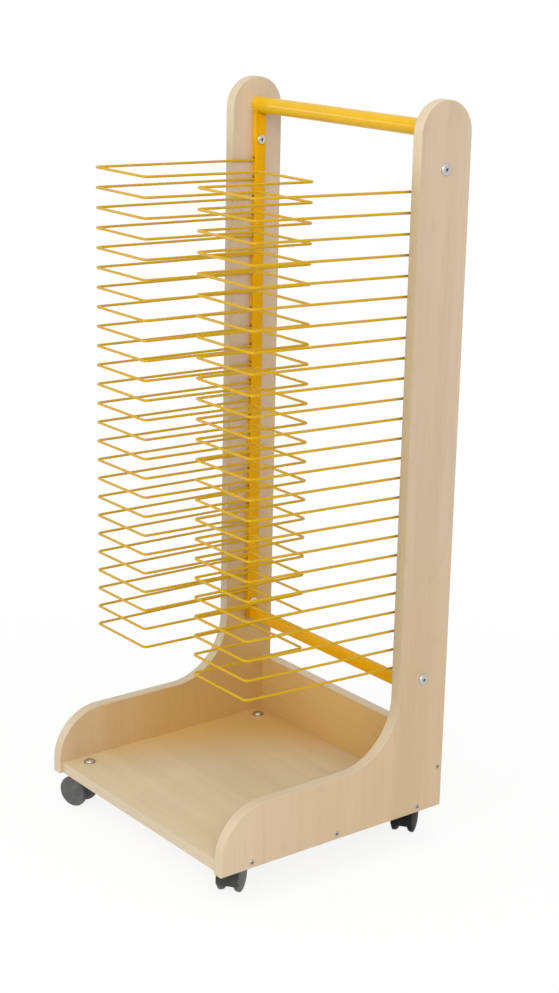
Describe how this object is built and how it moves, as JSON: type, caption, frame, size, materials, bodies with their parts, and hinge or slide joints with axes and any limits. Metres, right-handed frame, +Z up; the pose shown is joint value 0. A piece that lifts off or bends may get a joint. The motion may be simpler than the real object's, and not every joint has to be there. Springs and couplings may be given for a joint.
{
  "type": "art drying rack",
  "caption": "Mobile art drying rack: maple-faced side panels on a castor tray base, yellow tube frame and a ladder of hook-in wire shelves that tip up.",
  "frame": {"origin": "on the floor under the middle of the rack, at the centre of the bottom of its box", "axes": "+Z up, -Y towards the front where sheets go in, +X to the rack's right as seen from the front"},
  "size_m": [0.4698, 0.4303, 1.148],
  "materials": {
    "maple_board": "maple melamine on particle board",
    "edge_band": "maple-print plastic edge band",
    "yellow_powder_coat": "satin powder coat on steel",
    "zinc_plate": "bright zinc plate",
    "castor_plastic": "moulded dark grey plastic",
    "bright_steel": "drawn steel"
  },
  "bodies": {
    "rack": {"back_board": "maple_board", "base_board": "maple_board", "base_edge_band": "edge_band", "front_left_castor_stem": "zinc_plate", "front_right_castor_stem": "zinc_plate", "handle_tube": "yellow_powder_coat", "left_panel_edge_band": "edge_band", "left_post": "yellow_powder_coat", "left_side_panel": "maple_board", "lower_cross_bar": "yellow_powder_coat", "lower_left_frame_bolt": "zinc_plate", "lower_right_frame_bolt": "zinc_plate", "rear_left_castor_stem": "zinc_plate", "rear_right_castor_stem": "zinc_plate", "right_panel_edge_band": "edge_band", "right_post": "yellow_powder_coat", "right_side_panel": "maple_board", "upper_left_frame_bolt": "zinc_plate", "upper_right_frame_bolt": "zinc_plate"},
    "shelf_01": {"shelf_01": "yellow_powder_coat"},
    "shelf_02": {"shelf_02": "yellow_powder_coat"},
    "shelf_03": {"shelf_03": "yellow_powder_coat"},
    "shelf_04": {"shelf_04": "yellow_powder_coat"},
    "shelf_05": {"shelf_05": "yellow_powder_coat"},
    "shelf_06": {"shelf_06": "yellow_powder_coat"},
    "shelf_07": {"shelf_07": "yellow_powder_coat"},
    "shelf_08": {"shelf_08": "yellow_powder_coat"},
    "shelf_09": {"shelf_09": "yellow_powder_coat"},
    "shelf_10": {"shelf_10": "yellow_powder_coat"},
    "shelf_11": {"shelf_11": "yellow_powder_coat"},
    "shelf_12": {"shelf_12": "yellow_powder_coat"},
    "shelf_13": {"shelf_13": "yellow_powder_coat"},
    "shelf_14": {"shelf_14": "yellow_powder_coat"},
    "shelf_15": {"shelf_15": "yellow_powder_coat"},
    "shelf_16": {"shelf_16": "yellow_powder_coat"},
    "shelf_17": {"shelf_17": "yellow_powder_coat"},
    "shelf_18": {"shelf_18": "yellow_powder_coat"},
    "shelf_19": {"shelf_19": "yellow_powder_coat"},
    "shelf_20": {"shelf_20": "yellow_powder_coat"},
    "shelf_21": {"shelf_21": "yellow_powder_coat"},
    "shelf_22": {"shelf_22": "yellow_powder_coat"},
    "shelf_23": {"shelf_23": "yellow_powder_coat"},
    "shelf_24": {"shelf_24": "yellow_powder_coat"},
    "shelf_25": {"shelf_25": "yellow_powder_coat"},
    "front_left_castor": {"front_left_castor_hood": "castor_plastic", "front_left_castor_axle": "bright_steel"},
    "front_left_castor_left_wheel": {"front_left_castor_left_wheel": "castor_plastic"},
    "front_left_castor_right_wheel": {"front_left_castor_right_wheel": "castor_plastic"},
    "front_right_castor": {"front_right_castor_hood": "castor_plastic", "front_right_castor_axle": "bright_steel"},
    "front_right_castor_left_wheel": {"front_right_castor_left_wheel": "castor_plastic"},
    "front_right_castor_right_wheel": {"front_right_castor_right_wheel": "castor_plastic"},
    "rear_left_castor": {"rear_left_castor_hood": "castor_plastic", "rear_left_castor_axle": "bright_steel"},
    "rear_left_castor_left_wheel": {"rear_left_castor_left_wheel": "castor_plastic"},
    "rear_left_castor_right_wheel": {"rear_left_castor_right_wheel": "castor_plastic"},
    "rear_right_castor": {"rear_right_castor_hood": "castor_plastic", "rear_right_castor_axle": "bright_steel"},
    "rear_right_castor_left_wheel": {"rear_right_castor_left_wheel": "castor_plastic"},
    "rear_right_castor_right_wheel": {"rear_right_castor_right_wheel": "castor_plastic"}
  },
  "joints": [
    {"name": "shelf_01_lift", "type": "hinge", "parent": "rack", "child": "shelf_01", "pos_m": [0, 0.1565, 1.017], "axis": [-1, 0, 0], "range_deg": [0, 40]},
    {"name": "shelf_02_lift", "type": "hinge", "parent": "rack", "child": "shelf_02", "pos_m": [0, 0.1565, 0.987], "axis": [-1, 0, 0], "range_deg": [0, 40]},
    {"name": "shelf_03_lift", "type": "hinge", "parent": "rack", "child": "shelf_03", "pos_m": [0, 0.1565, 0.957], "axis": [-1, 0, 0], "range_deg": [0, 40]},
    {"name": "shelf_04_lift", "type": "hinge", "parent": "rack", "child": "shelf_04", "pos_m": [0, 0.1565, 0.927], "axis": [-1, 0, 0], "range_deg": [0, 40]},
    {"name": "shelf_05_lift", "type": "hinge", "parent": "rack", "child": "shelf_05", "pos_m": [0, 0.1565, 0.897], "axis": [-1, 0, 0], "range_deg": [0, 40]},
    {"name": "shelf_06_lift", "type": "hinge", "parent": "rack", "child": "shelf_06", "pos_m": [0, 0.1565, 0.867], "axis": [-1, 0, 0], "range_deg": [0, 40]},
    {"name": "shelf_07_lift", "type": "hinge", "parent": "rack", "child": "shelf_07", "pos_m": [0, 0.1565, 0.837], "axis": [-1, 0, 0], "range_deg": [0, 40]},
    {"name": "shelf_08_lift", "type": "hinge", "parent": "rack", "child": "shelf_08", "pos_m": [0, 0.1565, 0.807], "axis": [-1, 0, 0], "range_deg": [0, 40]},
    {"name": "shelf_09_lift", "type": "hinge", "parent": "rack", "child": "shelf_09", "pos_m": [0, 0.1565, 0.777], "axis": [-1, 0, 0], "range_deg": [0, 40]},
    {"name": "shelf_10_lift", "type": "hinge", "parent": "rack", "child": "shelf_10", "pos_m": [0, 0.1565, 0.747], "axis": [-1, 0, 0], "range_deg": [0, 40]},
    {"name": "shelf_11_lift", "type": "hinge", "parent": "rack", "child": "shelf_11", "pos_m": [0, 0.1565, 0.717], "axis": [-1, 0, 0], "range_deg": [0, 40]},
    {"name": "shelf_12_lift", "type": "hinge", "parent": "rack", "child": "shelf_12", "pos_m": [0, 0.1565, 0.687], "axis": [-1, 0, 0], "range_deg": [0, 40]},
    {"name": "shelf_13_lift", "type": "hinge", "parent": "rack", "child": "shelf_13", "pos_m": [0, 0.1565, 0.657], "axis": [-1, 0, 0], "range_deg": [0, 40]},
    {"name": "shelf_14_lift", "type": "hinge", "parent": "rack", "child": "shelf_14", "pos_m": [0, 0.1565, 0.627], "axis": [-1, 0, 0], "range_deg": [0, 40]},
    {"name": "shelf_15_lift", "type": "hinge", "parent": "rack", "child": "shelf_15", "pos_m": [0, 0.1565, 0.597], "axis": [-1, 0, 0], "range_deg": [0, 40]},
    {"name": "shelf_16_lift", "type": "hinge", "parent": "rack", "child": "shelf_16", "pos_m": [0, 0.1565, 0.567], "axis": [-1, 0, 0], "range_deg": [0, 40]},
    {"name": "shelf_17_lift", "type": "hinge", "parent": "rack", "child": "shelf_17", "pos_m": [0, 0.1565, 0.537], "axis": [-1, 0, 0], "range_deg": [0, 40]},
    {"name": "shelf_18_lift", "type": "hinge", "parent": "rack", "child": "shelf_18", "pos_m": [0, 0.1565, 0.507], "axis": [-1, 0, 0], "range_deg": [0, 40]},
    {"name": "shelf_19_lift", "type": "hinge", "parent": "rack", "child": "shelf_19", "pos_m": [0, 0.1565, 0.477], "axis": [-1, 0, 0], "range_deg": [0, 40]},
    {"name": "shelf_20_lift", "type": "hinge", "parent": "rack", "child": "shelf_20", "pos_m": [0, 0.1565, 0.447], "axis": [-1, 0, 0], "range_deg": [0, 40]},
    {"name": "shelf_21_lift", "type": "hinge", "parent": "rack", "child": "shelf_21", "pos_m": [0, 0.1565, 0.417], "axis": [-1, 0, 0], "range_deg": [0, 40]},
    {"name": "shelf_22_lift", "type": "hinge", "parent": "rack", "child": "shelf_22", "pos_m": [0, 0.1565, 0.387], "axis": [-1, 0, 0], "range_deg": [0, 40]},
    {"name": "shelf_23_lift", "type": "hinge", "parent": "rack", "child": "shelf_23", "pos_m": [0, 0.1565, 0.357], "axis": [-1, 0, 0], "range_deg": [0, 40]},
    {"name": "shelf_24_lift", "type": "hinge", "parent": "rack", "child": "shelf_24", "pos_m": [0, 0.1565, 0.327], "axis": [-1, 0, 0], "range_deg": [0, 40]},
    {"name": "shelf_25_lift", "type": "hinge", "parent": "rack", "child": "shelf_25", "pos_m": [0, 0.1565, 0.297], "axis": [-1, 0, 0], "range_deg": [0, 40]},
    {"name": "front_left_swivel", "type": "hinge", "parent": "rack", "child": "front_left_castor", "pos_m": [-0.188, -0.1705, 0.04], "axis": [0, 0, 1], "continuous": true},
    {"name": "front_left_left_wheel_roll", "type": "hinge", "parent": "front_left_castor", "child": "front_left_castor_left_wheel", "pos_m": [-0.20848, -0.17853, 0.025], "axis": [0.3649, -0.9311, 0], "continuous": true},
    {"name": "front_left_right_wheel_roll", "type": "hinge", "parent": "front_left_castor", "child": "front_left_castor_right_wheel", "pos_m": [-0.20848, -0.17853, 0.025], "axis": [0.3649, -0.9311, 0], "continuous": true},
    {"name": "front_right_swivel", "type": "hinge", "parent": "rack", "child": "front_right_castor", "pos_m": [0.188, -0.1705, 0.04], "axis": [0, 0, 1], "continuous": true},
    {"name": "front_right_left_wheel_roll", "type": "hinge", "parent": "front_right_castor", "child": "front_right_castor_left_wheel", "pos_m": [0.17488, -0.15284, 0.025], "axis": [-0.8028, -0.5962, 0], "continuous": true},
    {"name": "front_right_right_wheel_roll", "type": "hinge", "parent": "front_right_castor", "child": "front_right_castor_right_wheel", "pos_m": [0.17488, -0.15284, 0.025], "axis": [-0.8028, -0.5962, 0], "continuous": true},
    {"name": "rear_left_swivel", "type": "hinge", "parent": "rack", "child": "rear_left_castor", "pos_m": [-0.188, 0.1705, 0.04], "axis": [0, 0, 1], "continuous": true},
    {"name": "rear_left_left_wheel_roll", "type": "hinge", "parent": "rear_left_castor", "child": "rear_left_castor_left_wheel", "pos_m": [-0.20867, 0.17802, 0.025], "axis": [-0.342, -0.9397, 0], "continuous": true},
    {"name": "rear_left_right_wheel_roll", "type": "hinge", "parent": "rear_left_castor", "child": "rear_left_castor_right_wheel", "pos_m": [-0.20867, 0.17802, 0.025], "axis": [-0.342, -0.9397, 0], "continuous": true},
    {"name": "rear_right_swivel", "type": "hinge", "parent": "rack", "child": "rear_right_castor", "pos_m": [0.188, 0.1705, 0.04], "axis": [0, 0, 1], "continuous": true},
    {"name": "rear_right_left_wheel_roll", "type": "hinge", "parent": "rear_right_castor", "child": "rear_right_castor_left_wheel", "pos_m": [0.1751, 0.18832, 0.025], "axis": [-0.81, -0.5864, 0], "continuous": true},
    {"name": "rear_right_right_wheel_roll", "type": "hinge", "parent": "rear_right_castor", "child": "rear_right_castor_right_wheel", "pos_m": [0.1751, 0.18832, 0.025], "axis": [-0.81, -0.5864, 0], "continuous": true}
  ],
  "couplings": [
    {"joint": "shelf_01_lift", "follows": "shelf_25_lift", "ratio": 1},
    {"joint": "shelf_02_lift", "follows": "shelf_25_lift", "ratio": 1},
    {"joint": "shelf_03_lift", "follows": "shelf_25_lift", "ratio": 1},
    {"joint": "shelf_04_lift", "follows": "shelf_25_lift", "ratio": 1},
    {"joint": "shelf_05_lift", "follows": "shelf_25_lift", "ratio": 1},
    {"joint": "shelf_06_lift", "follows": "shelf_25_lift", "ratio": 1},
    {"joint": "shelf_07_lift", "follows": "shelf_25_lift", "ratio": 1},
    {"joint": "shelf_08_lift", "follows": "shelf_25_lift", "ratio": 1},
    {"joint": "shelf_09_lift", "follows": "shelf_25_lift", "ratio": 1},
    {"joint": "shelf_10_lift", "follows": "shelf_25_lift", "ratio": 1},
    {"joint": "shelf_11_lift", "follows": "shelf_25_lift", "ratio": 1},
    {"joint": "shelf_12_lift", "follows": "shelf_25_lift", "ratio": 1},
    {"joint": "shelf_13_lift", "follows": "shelf_25_lift", "ratio": 1},
    {"joint": "shelf_14_lift", "follows": "shelf_25_lift", "ratio": 1},
    {"joint": "shelf_15_lift", "follows": "shelf_25_lift", "ratio": 1},
    {"joint": "shelf_16_lift", "follows": "shelf_25_lift", "ratio": 1},
    {"joint": "shelf_17_lift", "follows": "shelf_25_lift", "ratio": 1},
    {"joint": "shelf_18_lift", "follows": "shelf_25_lift", "ratio": 1},
    {"joint": "shelf_19_lift", "follows": "shelf_25_lift", "ratio": 1},
    {"joint": "shelf_20_lift", "follows": "shelf_25_lift", "ratio": 1},
    {"joint": "shelf_21_lift", "follows": "shelf_25_lift", "ratio": 1},
    {"joint": "shelf_22_lift", "follows": "shelf_25_lift", "ratio": 1},
    {"joint": "shelf_23_lift", "follows": "shelf_25_lift", "ratio": 1},
    {"joint": "shelf_24_lift", "follows": "shelf_25_lift", "ratio": 1}
  ]
}
